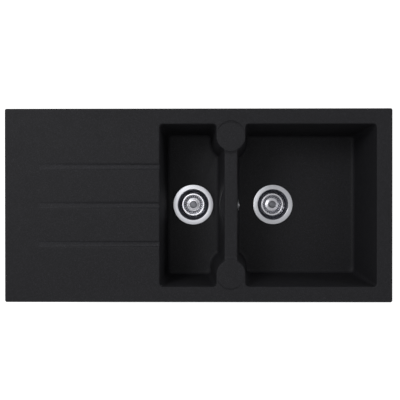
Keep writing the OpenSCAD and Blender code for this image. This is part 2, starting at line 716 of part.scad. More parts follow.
// Round plastic housing behind the wall, open to the hole, with a spout down to the hose
module overflow_housing() color("#1e1f22") difference() {
    union() {
        at_overflow() translate([0, 0, housing_back]) cylinder(d = housing_d, h = housing_depth);
        translate([hose_x, 0, spout_z]) cylinder(d = spigot_d, h = 30);
    }
    at_overflow() {
        difference() {
            translate([0, 0, housing_back + 2]) cylinder(d = housing_d - 8, h = housing_depth);
            translate([0, 0, housing_back]) cylinder(d = screw_d + 6, h = housing_depth - 1);
        }
        translate([0, 0, housing_back + 2]) cylinder(d = screw_d + 2 * fit, h = far);
    }
    translate([hose_x, 0, spout_z - cut]) cylinder(d = spigot_d - 2 * spigot_wall, h = 34);
}

band_w = 8;
hose_end_x = main_drain[0] - spigot_l - 0.4;
hose_axis_z = main_drain[2] + spigot_z;

// The hose's middle line as a solid of diameter d: straight down, one bend, straight along.
// A collar of diameter e covers each place where two stretches meet.
module hose_run(d, e, v_len, h_len) {
    translate([hose_x, 0, hose_axis_z + hose_bend_r]) {
        cylinder(d = d, h = v_len);
        cylinder(d = e, h = rib_pitch / 2, center = true);
        translate([hose_bend_r, 0, 0]) rotate([90, 0, 0]) rotate(180)
            rotate_extrude(angle = 90, $fn = 96) translate([hose_bend_r, 0]) circle(d = d, $fn = 48);
    }
    translate([hose_x + hose_bend_r, 0, hose_axis_z]) rotate([0, 90, 0]) {
        cylinder(d = d, h = h_len);
        cylinder(d = e, h = rib_pitch / 2, center = true);
    }
}

// Ribbed hose: down between the bowls, round one bend, along to the waste body's spigot
module overflow_hose() color("#8d8f92") {
    v_len = spout_z + hose_on - hose_axis_z - hose_bend_r;
    h_len = hose_end_x - hose_x - hose_bend_r;
    v_n = floor((v_len - band_w - 4) / rib_pitch);
    h_n = floor((h_len - band_w - 4) / rib_pitch);
    b_n = floor(hose_bend_r * PI / 2 / rib_pitch) - 1;
    difference() {
        union() {
            hose_run(hose_bore_d + 2 * hose_wall, hose_d, v_len, h_len);
            for (i = [1:v_n]) translate([hose_x, 0, hose_axis_z + hose_bend_r + i * rib_pitch])
                cylinder(d = hose_d, h = rib_pitch / 2, center = true);
            for (i = [1:h_n]) translate([hose_x + hose_bend_r + i * rib_pitch, 0, hose_axis_z])
                rotate([0, 90, 0]) cylinder(d = hose_d, h = rib_pitch / 2, center = true);
            translate([hose_x + hose_bend_r, 0, hose_axis_z + hose_bend_r]) rotate([90, 0, 0])
                for (i = [1:b_n]) rotate(180 + i * 90 / (b_n + 1)) translate([hose_bend_r, 0, 0])
                    rotate([90, 0, 0]) cylinder(d = hose_d, h = rib_pitch / 2, center = true);
        }
        hose_run(hose_bore_d, hose_bore_d + rib_h, v_len + cut, h_len + cut);
    }
}

// A band clip round one end of the hose, with its worm housing
module hose_clip() {
    r = hose_bore_d / 2 + hose_wall + fit;
    difference() {
        union() {
            cylinder(r = r + 0.8, h = band_w, center = true);
            translate([r + 3, 0, 0]) cube([6, 9, band_w - 1], center = true);
            translate([r + 3.4, 0, 0]) rotate([90, 0, 0]) cylinder(d = 6.4, h = 13, center = true);
        }
        cylinder(r = r, h = far, center = true);
        translate([r + 3.4, -6.5, 0]) cube([5, 1.6, 1], center = true);
    }
}

module hose_clips() color("#c8c9cb") {
    translate([hose_x, 0, spout_z + 5]) rotate(90) hose_clip();
    translate([hose_end_x - 6, 0, hose_axis_z]) rotate([0, 90, 0]) rotate(90) hose_clip();
}

module clip_1() clip(0);
module clip_2() clip(1);
module clip_3() clip(2);
module clip_4() clip(3);
module clip_5() clip(4);
module clip_6() clip(5);
module clip_7() clip(6);
module clip_8() clip(7);
module main_strainer_cup() translate(main_drain) strainer_cup();
module main_flange_seal() translate(main_drain) flange_seal();
module main_body_seal() translate(main_drain) body_seal();
module main_waste_body() translate(main_drain) waste_body(true);
module main_waste_nut() translate(main_drain) waste_nut();
module main_centre_screw() translate(main_drain) centre_screw();
module main_basket() translate(main_drain) basket();
module main_basket_seal() translate(main_drain) basket_seal();
module main_basket_knob() translate(main_drain) basket_knob();
module main_basket_nut() translate(main_drain) basket_nut();
module half_strainer_cup() translate(half_drain) strainer_cup();
module half_flange_seal() translate(half_drain) flange_seal();
module half_body_seal() translate(half_drain) body_seal();
module half_waste_body() translate(half_drain) waste_body(false);
module half_waste_nut() translate(half_drain) waste_nut();
module half_centre_screw() translate(half_drain) centre_screw();
module half_basket() translate(half_drain) basket();
module half_basket_seal() translate(half_drain) basket_seal();
module half_basket_knob() translate(half_drain) basket_knob();
module half_basket_nut() translate(half_drain) basket_nut();

sink_body();
rim_seal();
clip_inserts();
clip_screws();
clip_1();
clip_2();
clip_3();
clip_4();
clip_5();
clip_6();
clip_7();
clip_8();
main_strainer_cup();
main_flange_seal();
main_body_seal();
main_waste_body();
main_waste_nut();
main_centre_screw();
main_basket();
main_basket_seal();
main_basket_knob();
main_basket_nut();
half_strainer_cup();
half_flange_seal();
half_body_seal();
half_waste_body();
half_waste_nut();
half_centre_screw();
half_basket();
half_basket_seal();
half_basket_knob();
half_basket_nut();
overflow_rose();
overflow_screw();
overflow_gasket();
overflow_housing();
overflow_hose();
hose_clips();
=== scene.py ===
import math
import bpy
import bmesh
import numpy as np
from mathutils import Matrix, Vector
from mathutils.bvhtree import BVHTree
from mathutils.geometry import delaunay_2d_cdt


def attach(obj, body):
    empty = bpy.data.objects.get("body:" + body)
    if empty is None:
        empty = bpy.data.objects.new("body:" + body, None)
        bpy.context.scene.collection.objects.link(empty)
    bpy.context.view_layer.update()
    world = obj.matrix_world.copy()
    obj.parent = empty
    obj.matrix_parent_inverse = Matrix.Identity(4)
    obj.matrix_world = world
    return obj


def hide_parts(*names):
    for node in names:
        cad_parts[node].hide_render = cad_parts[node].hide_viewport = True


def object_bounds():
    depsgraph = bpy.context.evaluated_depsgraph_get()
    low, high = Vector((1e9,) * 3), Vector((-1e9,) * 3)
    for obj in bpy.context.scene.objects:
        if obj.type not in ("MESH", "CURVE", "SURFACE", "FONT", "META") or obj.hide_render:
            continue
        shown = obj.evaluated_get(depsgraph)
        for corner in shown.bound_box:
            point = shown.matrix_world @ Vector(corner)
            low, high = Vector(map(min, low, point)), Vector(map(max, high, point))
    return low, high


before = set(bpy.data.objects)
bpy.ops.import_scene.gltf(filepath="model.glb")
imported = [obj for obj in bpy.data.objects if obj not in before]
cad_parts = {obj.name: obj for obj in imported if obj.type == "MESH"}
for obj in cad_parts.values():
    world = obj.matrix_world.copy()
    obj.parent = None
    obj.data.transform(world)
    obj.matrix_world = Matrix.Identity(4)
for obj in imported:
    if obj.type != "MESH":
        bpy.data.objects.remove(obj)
size_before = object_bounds()

# Sizes are in millimetres, in the row frame, unless a comment says metres. MM turns them into metres.
# The sink's main sizes are the CAD's. The swell of the drainer's left end, the ledges' stretch and the
# hollow fillet beside them are finer forms that the scene alone has
MM = 0.001

# The moulding: half its length and width, its height, and the radii of its rolled edge and corners
RIM_X = 500.0
RIM_Y = 250.0
RIM_H = 9.0
EDGE_R = 2.5
CORNER_R = 5.0

# The bowls at the deck: their walls next to the bridge and far from it, half their width, their depths
HALF_NEAR = 68.0
HALF_FAR = -100.0
MAIN_NEAR = 101.0
MAIN_FAR = 460.0
BOWL_Y = 210.0
HALF_DEPTH = 172.0
MAIN_DEPTH = 195.0

# A bowl's section. Its wall leans in from the height WALL_TOP down, and ends in a fillet at the floor.
# Its rings stand at WALL_HEIGHTS, closest together over the bulge's top, and the last one just above
# the fillet
LIP_R = 3.0
WALL_TOP = 7.0
WALL_LEAN_DEG = 4.0
FOOT_R = 12.0
FLOOR_FALL = 5.0
WALL_HEIGHTS = (-5, -7.5, -10, -12, -14, -18, -25, -35, -50, -70, -90, -110, -130, -140)
ABOVE_FOOT = 1.0

# Radii of a bowl's corners in plan, at the top of the wall and at its foot
CORNER_TOP_R = 9.0
CORNER_FOOT_R = 14.0

# The drains' middles on the flat rounds that the floors fall to. Below the round the waste has its
# seat, given as (radius, height): a broken edge, a step for the flange, and the hole
DRAINS = {"main": (214.0, 0.0, RIM_H - MAIN_DEPTH), "half": (-16.0, 0.0, RIM_H - HALF_DEPTH)}
FLAT_ROUND_R = 59.5
WASTE_SEAT = ((58.8, 0), (58.5, -0.3), (58.5, -1.5), (45.6, -1.5), (45, -2.1), (45, -9))

# The bridge between the bowls: its middle and height, how far to each side the deck counts as bridge,
# and the fillet in plan between its side and a ledge
BRIDGE_X = 84.5
BRIDGE_Z = 1.0
BRIDGE_REACH = 30.0
BRIDGE_FILLET_R = 5.0

# The two tap ledges: middle, height, radius and how far their middle lies behind a bowl's divider wall.
# Their outer side is LEDGE_STRETCH times as long and drops over LEDGE_EDGE, two radii. Towards the
# bridge a hollow fillet takes them down
LEDGE_Y = 178.0
LEDGE_Z = 5.8
LEDGE_R = 37.6
LEDGE_BACK = MAIN_NEAR - BRIDGE_X
LEDGE_STRETCH = 1.08
LEDGE_EDGE = (37.0, 38.2)
LEDGE_FILLET_R = 37.4
LEDGE_FILLET_W = 9.0

# The deck: borders that fall at 1 in 20, and the drainer's plane, which rises away from the half bowl
BORDER_RUN = 20.0
DRAINER_Z = 7.0
DRAINER_RISE = 1.4
DRAINER_RUN = 400.0

# The drainer's left end swells up to its edge. The swell's line is round about two corners, the swell
# grows across it, and it starts along the drainer over SWELL_ALONG
SWELL_Z = 8.87
SWELL_R = 120.0
SWELL_CORNER = (-357.0, 117.0)
SWELL_ACROSS = (-12.0, 70.0)
SWELL_ALONG = (-400.0, -320.0)

# The three drainer channels: pitch, half widths at floor and deck, the slope at their head, their start
# and end, their depth at the start and how much deeper they are at the half bowl
CHANNEL_PITCH = 100.0
CHANNEL_FLOOR = 5.2
CHANNEL_MOUTH = 7.6
CHANNEL_HEAD = (-414.0, -408.0)
CHANNEL_START = -412.0
CHANNEL_END = -90.0
CHANNEL_DEPTH = 0.4
CHANNEL_GAIN = 3.1

# The bulge for the overflow on the half bowl's wall: half its length, how far it stands out, the height
# where its top starts and how far that slopes down
BULGE_HALF_L = 46.5
BULGE_H = 10.0
BULGE_TOP = -5.0
BULGE_SLOPE = 9.0


# Camera, fitted to the rim's corners and the bowls' edges in the photograph. Its place is in metres
CAMERA_PLACE = (0.0175, 0.0203, 1.570)
CAMERA_TURN_DEG = (-0.235, 0.47, -0.025)
CAMERA_SENSOR = 36.0
CAMERA_LENS = 54.53
camera = bpy.data.objects.new("camera", bpy.data.cameras.new("camera"))
bpy.context.collection.objects.link(camera)
camera.location = CAMERA_PLACE
camera.rotation_euler = [math.radians(angle) for angle in CAMERA_TURN_DEG]
camera.data.sensor_width = CAMERA_SENSOR
camera.data.lens = CAMERA_LENS
bpy.context.scene.camera = camera


# Materials
def linear(code):
    """sRGB hex code to the linear colour that a shader takes."""
    c = np.array([int(code[i:i + 2], 16) / 255 for i in (1, 3, 5)])
    c = np.where(c <= 0.04045, c / 12.92, ((c + 0.055) / 1.055) ** 2.4)
    return (*c.tolist(), 1.0)


def per(size):
    """Noise or cell scale for features of this size in millimetres."""
    return 1 / (size * MM)


def add(tree, kind, inputs=None, stops=(), **settings):
    """One shader node: settings are its own, inputs go to its sockets, as a value or as a link from
    another socket, and stops are a colour ramp's (position, hex code) pairs."""
    node = tree.nodes.new("ShaderNode" + kind)
    for key, value in settings.items():
        setattr(node, key, value)
    for key, value in (inputs or {}).items():
        if isinstance(value, bpy.types.NodeSocket):
            tree.links.new(value, node.inputs[key])
        else:
            node.inputs[key].default_value = value
    if stops:
        elements = node.color_ramp.elements
        while len(elements) < len(stops):
            elements.new(0.5)
        for element, (position, code) in zip(elements, stops):
            element.position = position
            element.color = linear(code)
    return node


def empty_material(name):
    """A new material and its tree, with no nodes in it."""
    made = bpy.data.materials.new(name)
    made.use_nodes = True
    made.node_tree.nodes.clear()
    return made, made.node_tree


def surface(tree, inputs):
    """Ends a material's tree in one principled shader with these inputs."""
    shader = add(tree, "BsdfPrincipled", inputs)
    add(tree, "OutputMaterial", {"Surface": shader.outputs["BSDF"]})


# The composite's skin: size of a grain, size and depth of its fine tooth, and size of the slow clouds in
# its sheen. The last value is how many times as bright a channel's floor is painted, a painted light on
# the channel floors
GRAIN = 0.9
TOOTH = 1.1
TOOTH_DEPTH = 0.05
CLOUD = 30.0
CHANNEL_PAINTED_LIGHT = 1.3


def granite_composite():
    """Granite composite: quartz grain bound in black resin, moulded, with a matt skin that a fine tooth
    breaks up. The eye sees a soft near-black with a few paler grains, which are drawn as large as the
    coarsest real ones so that they show. The tooth scatters most of the gloss, so the specular level
    is low. The attribute channel paints the drainer channels' floors paler, as the photograph has
    them; this paler colour is painted light on those floors."""
    made, t = empty_material("granite_composite_black")
    place = add(t, "TexCoord").outputs["Object"]
    cells = add(t, "TexVoronoi", {"Vector": place, "Scale": per(GRAIN)})
    grain = add(t, "SeparateColor", {"Color": cells.outputs["Color"]}).outputs["Red"]
    resin = add(t, "ValToRGB", {"Fac": grain}, [(0.0, "#1c1c1e"), (0.82, "#222225"), (0.97, "#313135")])
    floor = add(t, "Attribute", attribute_name="channel").outputs["Fac"]
    # Painted light: the channel floors' colour is raised by the share of channel floor at each point
    painted_light = add(t, "MapRange", {"Value": floor, "To Min": 1.0, "To Max": CHANNEL_PAINTED_LIGHT}).outputs["Result"]
    lit = add(t, "VectorMath", {0: resin.outputs["Color"], "Scale": painted_light}, operation="SCALE")
    cloud = add(t, "TexNoise", {"Vector": place, "Scale": per(CLOUD), "Detail": 3.0}).outputs["Fac"]
    rough = add(t, "MapRange", {"Value": cloud, "To Min": 0.55, "To Max": 0.65}).outputs["Result"]
    tooth = add(t, "TexNoise", {"Vector": place, "Scale": per(TOOTH), "Detail": 3.0}).outputs["Fac"]
    bump = add(t, "Bump", {"Height": tooth, "Distance": TOOTH_DEPTH * MM, "Strength": 0.6})
    surface(t, {
        "Base Color": lit.outputs[0], "Roughness": rough, "Specular IOR Level": 0.14,
        "Normal": bump.outputs["Normal"]})
    return made


# How far the rings of turned steel waver round the axis, and how softly the inner finish and its painted
# shade meet the outer finish
RING_WAVER = 0.6
FINISH_AND_SHADE_BLUR = 0.4


def turned_steel(name, centre, ring, depth, aniso, finish, inner=None, edge=0.0):
    """Stainless steel finished by turning it against a belt or wheel. Rings of about the width ring,
    depth deep, draw each light out across themselves. finish is (hex code, roughness); inside the
    radius edge the steel has the inner roughness and the inner colour instead, and for the cups that
    darker inner colour is painted shade."""
    made, t = empty_material(name)
    inner = inner or finish
    place = add(t, "TexCoord").outputs["Object"]
    axis = (centre[0] * MM, centre[1] * MM, 0.0)
    from_axis = add(t, "VectorMath", {0: place, 1: axis}, operation="SUBTRACT").outputs[0]
    level = add(t, "VectorMath", {0: from_axis, 1: (1.0, 1.0, 0.0)}, operation="MULTIPLY").outputs[0]
    radius = add(t, "VectorMath", {0: level}, operation="LENGTH").outputs["Value"]
    outward = add(t, "VectorMath", {0: level}, operation="NORMALIZE").outputs[0]
    height = add(t, "SeparateXYZ", {"Vector": from_axis}).outputs["Z"]
    turn = add(t, "SeparateXYZ", {"Vector": outward}).outputs["Y"]
    waver = add(t, "Math", {0: turn, 1: RING_WAVER * MM}, operation="MULTIPLY").outputs[0]
    section = add(t, "CombineXYZ", {"X": radius, "Y": height, "Z": waver}).outputs[0]
    rings = add(t, "TexNoise", {"Vector": section, "Scale": per(ring), "Detail": 3.0}).outputs["Fac"]
    low, high = (edge - FINISH_AND_SHADE_BLUR) * MM, (edge + FINISH_AND_SHADE_BLUR) * MM
    away = add(t, "MapRange", {"Value": radius, "From Min": low, "From Max": high}).outputs["Result"]
    # Inside the radius edge the colour turns to the inner one: for the cups this is painted shade in their
    # hollow
    colour = add(t, "ValToRGB", {"Fac": away}, [(0.0, inner[0]), (1.0, finish[0])]).outputs["Color"]
    even = add(t, "MapRange", {"Value": away, "To Min": inner[1], "To Max": finish[1]}).outputs["Result"]
    spread = add(t, "MapRange", {"Value": rings, "To Min": 0.7, "To Max": 1.3}).outputs["Result"]
    rough = add(t, "Math", {0: even, 1: spread}, operation="MULTIPLY").outputs[0]
    bump = add(t, "Bump", {"Height": rings, "Distance": depth * MM, "Strength": 0.5}).outputs["Normal"]
    surface(t, {
        "Base Color": colour, "Metallic": 1.0, "Roughness": rough, "Anisotropic": aniso,
        "Tangent": outward, "Normal": bump})
    return made


def plain_metal(name, colour, roughness, patch):
    """Pressed or plated metal. Its sheen is uneven in faint patches of about the size patch."""
    made, t = empty_material(name)
    place = add(t, "TexCoord").outputs["Object"]
    cloud = add(t, "TexNoise", {"Vector": place, "Scale": per(patch), "Detail": 3.0}).outputs["Fac"]
    low, high = roughness * 0.8, roughness * 1.25
    rough = add(t, "MapRange", {"Value": cloud, "To Min": low, "To Max": high}).outputs["Result"]
    surface(t, {"Base Color": linear(colour), "Metallic": 1.0, "Roughness": rough})
    return made


def moulded(name, colour, roughness, grain, depth):
    """Moulded plastic or rubber: the tool's eroded grain, of the size grain and depth deep, dulls it, and
    its sheen changes slowly over twenty grains."""
    made, t = empty_material(name)
    place = add(t, "TexCoord").outputs["Object"]
    cloud = add(t, "TexNoise", {"Vector": place, "Scale": per(grain * 20), "Detail": 2.0}).outputs["Fac"]
    low, high = roughness * 0.9, roughness * 1.1
    rough = add(t, "MapRange", {"Value": cloud, "To Min": low, "To Max": high}).outputs["Result"]
    pits = add(t, "TexNoise", {"Vector": place, "Scale": per(grain), "Detail": 2.0}).outputs["Fac"]
    bump = add(t, "Bump", {"Height": pits, "Distance": depth * MM, "Strength": 0.5}).outputs["Normal"]
    surface(t, {"Base Color": linear(colour), "Roughness": rough, "Normal": bump})
    return made


COMPOSITE = granite_composite()

# Stainless steel, pressed. The flange is brushed round, a pale soft ring. The cone and wall inside the
# radius 44 are as drawn, smoother, and mirror the dark bowl; their colour is also painted darker, a
# painted shade for the shadow inside the cup
CUP_STEEL_AND_SHADE = {
    side: turned_steel(
        "stainless_brushed_cup_painted_shade_" + side, drain, ring=0.35, depth=0.01, aniso=0.5,
        finish=("#dcdde3", 0.32), inner=("#a2a3aa", 0.14), edge=44.0)
    for side, drain in DRAINS.items()}

# Stainless steel sheet, rolled bright: the basket's faces turn from white to dark with their slope
BASKET_STEEL = {
    side: turned_steel(
        "stainless_rolled_basket_" + side, drain, ring=0.5, depth=0.004, aniso=0.5,
        finish=("#ececf3", 0.26))
    for side, drain in DRAINS.items()}

# Stainless steel, turned and satin finished. Its colour is set to an even mid grey, much darker than the
# cups' and baskets' steel, and it has a soft edge of light
KNOB_STEEL = {
    side: turned_steel(
        "satin_knob_" + side, drain, ring=0.4, depth=0.006, aniso=0.4,
        finish=("#7c7d83", 0.34))
    for side, drain in DRAINS.items()}

# Chrome plate: cool grey with one blurred highlight
CHROME = plain_metal("polished_chrome_rose", "#8c8e91", roughness=0.28, patch=6.0)
# Zinc plated steel: pale and bright, a little clouded
SCREW_STEEL = plain_metal("zinc_plated_screws", "#b9babc", roughness=0.28, patch=1.5)
# Galvanised strip: duller, with broader clouds
CLIP_STEEL = plain_metal("galvanised_clip_steel", "#a9abad", roughness=0.38, patch=4.0)
# Brass turned from bar: warm and bright
BRASS = plain_metal("turned_brass", "#b5924c", roughness=0.25, patch=1.0)
# Polypropylene, moulded black: low sheen with a fine grain
BLACK_PLASTIC = moulded("black_polypropylene", "#17181a", roughness=0.42, grain=0.25, depth=0.02)
# Polypropylene, grey hose: a waxy light grey
HOSE_PLASTIC = moulded("grey_hose_polypropylene", "#8b8d90", roughness=0.38, grain=0.4, depth=0.02)
# EPDM rubber, moulded: black and almost without light
RUBBER = moulded("black_epdm_rubber", "#131314", roughness=0.68, grain=0.2, depth=0.02)
# Closed-cell foam strip: dark grey, with open pits where it is cut
FOAM = moulded("dark_grey_foam", "#343436", roughness=0.95, grain=0.5, depth=0.15)


# Surfaces: points nearer than MERGE are merged, and faces count as facing alike from the cosine ALIKE up.
# A CAD face is covered where the skin is nearer than the gap for the body or for a cup
MERGE = 0.01
ALIKE = 0.6
BODY_GAP = 5.0
CUP_GAP = 0.6


def piece(name, points, faces, material, sharp=35.0):
    """A mesh object at the origin from points in millimetres. Equal points are merged, and faces are
    smooth where they meet at less than the sharp angle in degrees."""
    if isinstance(faces, np.ndarray):
        faces = faces.tolist()
    mesh = bpy.data.meshes.new(name)
    mesh.from_pydata((np.asarray(points) * MM).tolist(), [], faces)
    merged = bmesh.new()
    merged.from_mesh(mesh)
    bmesh.ops.remove_doubles(merged, verts=merged.verts, dist=MERGE * MM)
    merged.to_mesh(mesh)
    merged.free()
    mesh.shade_smooth()
    mesh.set_sharp_from_angle(angle=math.radians(sharp))
    mesh.materials.append(material)
    made = bpy.data.objects.new(name, mesh)
    bpy.context.collection.objects.link(made)
    return made


def points_of(mesh):
    """The mesh's points as one array (count, 3), in metres."""
    co = np.empty(len(mesh.vertices) * 3, np.float32)
    mesh.vertices.foreach_get("co", co)
    return co.reshape(-1, 3)


def ease(t, a, b):
    """Smooth step 3s^2 - 2s^3 with s = (t - a) / (b - a) held between 0 and 1."""
    s = np.clip((t - a) / (b - a), 0, 1)
    return s * s * (3 - 2 * s)


def bands(rings, count, start=0, flip=False):
    """Quads between rings of count points each, every ring closed. Ring k + 1 follows ring k."""
    k, i = np.meshgrid(np.arange(rings - 1), np.arange(count), indexing="ij")
    a = start + k * count + i
    b = start + k * count + (i + 1) % count
    quads = np.stack([a, b, b + count, a + count], -1).reshape(-1, 4)
    return quads[:, ::-1] if flip else quads


def arc(c, r, a0, a1, n):
    """n + 1 points of an arc: c + r (cos a, sin a) with a from a0 to a1 degrees."""
    a = np.radians(np.linspace(a0, a1, n + 1))
    return np.stack([c[0] + r * np.cos(a), c[1] + r * np.sin(a)], -1)


def lifted(plan, z):
    """The points of a plan at the height z, which is one number or one for each point."""
    return np.concatenate([plan, np.broadcast_to(np.asarray(z, float).reshape(-1, 1), (len(plan), 1))], 1)


def within(points, loop):
    """Which points lie inside a closed loop, by the even-odd rule."""
    a, b = loop, np.roll(loop, -1, 0)
    x, y = points[:, :1], points[:, 1:]
    crosses = (a[:, 1] > y) != (b[:, 1] > y)
    with np.errstate(divide="ignore", invalid="ignore"):
        at = a[:, 0] + (y - a[:, 1]) * (b[:, 0] - a[:, 0]) / (b[:, 1] - a[:, 1])
    return (crosses & (x < at)).sum(1) % 2 == 1


def near_loop(points, loop, gap):
    """Which points lie nearer than gap to a point of the loop."""
    return (np.hypot(points[:, :1] - loop[:, 0], points[:, 1:] - loop[:, 1]) < gap).any(1)


# Deck of the moulding
def channel(x, y):
    """1 on a drainer channel's floor and 0 outside, with the smooth step across its sides and its head."""
    off_middle = np.abs(np.abs(y) - np.where(np.abs(y) > CHANNEL_PITCH / 2, CHANNEL_PITCH, 0))
    across = 1 - ease(off_middle, CHANNEL_FLOOR, CHANNEL_MOUTH)
    return across * ease(x, *CHANNEL_HEAD) * (x < CHANNEL_END)


def ledge_radius(x, y):
    """Distance from the nearer ledge's middle, with outward lengths divided by LEDGE_STRETCH."""
    out = np.abs(y) - LEDGE_Y
    return np.hypot(x - BRIDGE_X, np.where(out > 0, out / LEDGE_STRETCH, out))


def deck_z(x, y):
    """Height of the deck. Borders fall from the edge, z = 9 - d / 20, to the drainer's plane
    7 + 1.4 (-100 - x) / 400, whichever is higher. The left end swells by the smooth step over a line
    that is round at the corners. Three channels deepen evenly to 3.5 at the half bowl. Ledges lie at
    5.8 and the bridge at 1. Between them a hollow fillet falls as (1 - s)^2 with s = (r - 37.4) / 9."""
    side = np.abs(y)
    border = RIM_H - np.minimum(RIM_Y - side, RIM_X - x) / BORDER_RUN
    z = np.maximum(border, DRAINER_Z + DRAINER_RISE * (HALF_FAR - x) / DRAINER_RUN)
    past_x = np.maximum(SWELL_CORNER[0] - x, 0)
    past_y = np.maximum(side - SWELL_CORNER[1], 0)
    before = SWELL_R - np.hypot(past_x, past_y)
    z = z + (SWELL_Z - z) * (1 - ease(before, *SWELL_ACROSS)) * (1 - ease(x, *SWELL_ALONG))
    run = np.clip((x - CHANNEL_START) / (HALF_FAR - CHANNEL_START), 0, 1)
    z = z - (CHANNEL_DEPTH + CHANNEL_GAIN * run) * channel(x, y)
    r = ledge_radius(x, y)
    bridge = (np.abs(x - BRIDGE_X) < BRIDGE_REACH) & (side < LEDGE_Y)
    z = np.where(bridge, BRIDGE_Z, z)
    fillet = (1 - np.clip((r - LEDGE_FILLET_R) / LEDGE_FILLET_W, 0, 1)) ** 2
    ledge = np.where(bridge, fillet, 1 - ease(r, *LEDGE_EDGE))
    return z + (LEDGE_Z - z) * ledge


# Lines along the channels' sides, which the deck's net and the half bowl's far wall both follow, and a
# far wall's points as shares of its half length
FAR_POINTS = 43
LINES_PER_SIDE = 5
CHANNEL_LINES = np.array([
    middle + way * off
    for middle in (-CHANNEL_PITCH, 0, CHANNEL_PITCH)
    for way in (-1, 1)
    for off in np.linspace(CHANNEL_FLOOR, CHANNEL_MOUTH, LINES_PER_SIDE)])
FAR_SHARES = np.unique(np.round(np.concatenate([
    np.linspace(-1, 1, FAR_POINTS), CHANNEL_LINES / (BOWL_Y - CORNER_TOP_R)]), 4))[1:-1]

# Numbers of points in a bowl's plan: along a side, along the divider wall, and steps in its arcs
SIDE_POINTS = 40
DIVIDER_POINTS = 49
CORNER_STEPS = 10
LEDGE_STEPS = 24
FILLET_STEPS = 6

# The arc round a ledge starts this many degrees past the corner, and no nearer than this to v = 178
PAST_CORNER_DEG = 2.0
LEAST_LEDGE_DEG = 4.0

# Steps down a bowl, in its lip, in the fillet at its foot and over its floor
LIP_STEPS = 6
FOOT_STEPS = 8
FLOOR_STEPS = 10


# The two bowls
def bowl_plan(length, d, corner, bulge_at=None):
    """A bowl's plan, inset by d, counterclockwise in u (from the divider wall) and v. At the divider
    the wall goes round both ledges on arcs of the radius LEDGE_R + d about u = -16.5, v = +-178, and a
    fillet of radius 5 joins each arc to the straight part. bulge_at gives what stands out there."""
    half_w = BOWL_Y - d
    ledge = LEDGE_R + d
    reach = ledge + BRIDGE_FILLET_R
    across = d + BRIDGE_FILLET_R + LEDGE_BACK
    fillet_v = LEDGE_Y - math.sqrt(reach * reach - across * across)
    fillet_a = math.degrees(math.acos(across / reach))
    corner_a = math.degrees(math.asin((LEDGE_Y - half_w + corner) / ledge)) + PAST_CORNER_DEG
    corner_a = max(LEAST_LEDGE_DEG, corner_a)
    u0 = LEDGE_R - LEDGE_BACK + d + corner
    u1 = length - d - corner
    v = half_w - corner
    along = np.linspace(0, 1, SIDE_POINTS + 2)[1:-1]
    divider_v = np.linspace(1, -1, DIVIDER_POINTS) * fillet_v
    divider_u = np.full(DIVIDER_POINTS, float(d)) + (bulge_at(divider_v) if bulge_at else 0.0)
    return np.concatenate([
        arc((u0, -v), corner, 180, 270, CORNER_STEPS),
        np.stack([u0 + (u1 - u0) * along, np.full(SIDE_POINTS, -half_w)], -1),
        arc((u1, -v), corner, 270, 360, CORNER_STEPS),
        np.stack([np.full(len(FAR_SHARES), length - d), v * FAR_SHARES], -1),
        arc((u1, v), corner, 0, 90, CORNER_STEPS),
        np.stack([u1 + (u0 - u1) * along, np.full(SIDE_POINTS, half_w)], -1),
        arc((u0, v), corner, 90, 180, CORNER_STEPS),
        arc((-LEDGE_BACK, LEDGE_Y), ledge, -corner_a, -fillet_a, LEDGE_STEPS),
        arc((d + BRIDGE_FILLET_R, fillet_v), BRIDGE_FILLET_R, 180 - fillet_a, 180, FILLET_STEPS)[1:-1],
        np.stack([divider_u, divider_v], -1),
        arc((d + BRIDGE_FILLET_R, -fillet_v), BRIDGE_FILLET_R, 180, 180 + fillet_a, FILLET_STEPS)[1:-1],
        arc((-LEDGE_BACK, -LEDGE_Y), ledge, fillet_a, corner_a, LEDGE_STEPS)])


def bulge_front(v, z, d):
    """How far the half bowl's wall stands out round the overflow: an arc 93 wide and 10 high in plan,
    10 - R + sqrt(R^2 - v^2) with R = (46.5^2 + 10^2) / 20. It is upright in front, so the
    wall's inset d is taken off, and its top is an even slope."""
    big_r = (BULGE_HALF_L * BULGE_HALF_L + BULGE_H * BULGE_H) / (2 * BULGE_H)
    front = BULGE_H - big_r + np.sqrt(np.maximum(0, big_r * big_r - v * v))
    return np.maximum(0, front - d) * np.clip((BULGE_TOP - z) / BULGE_SLOPE, 0, 1)


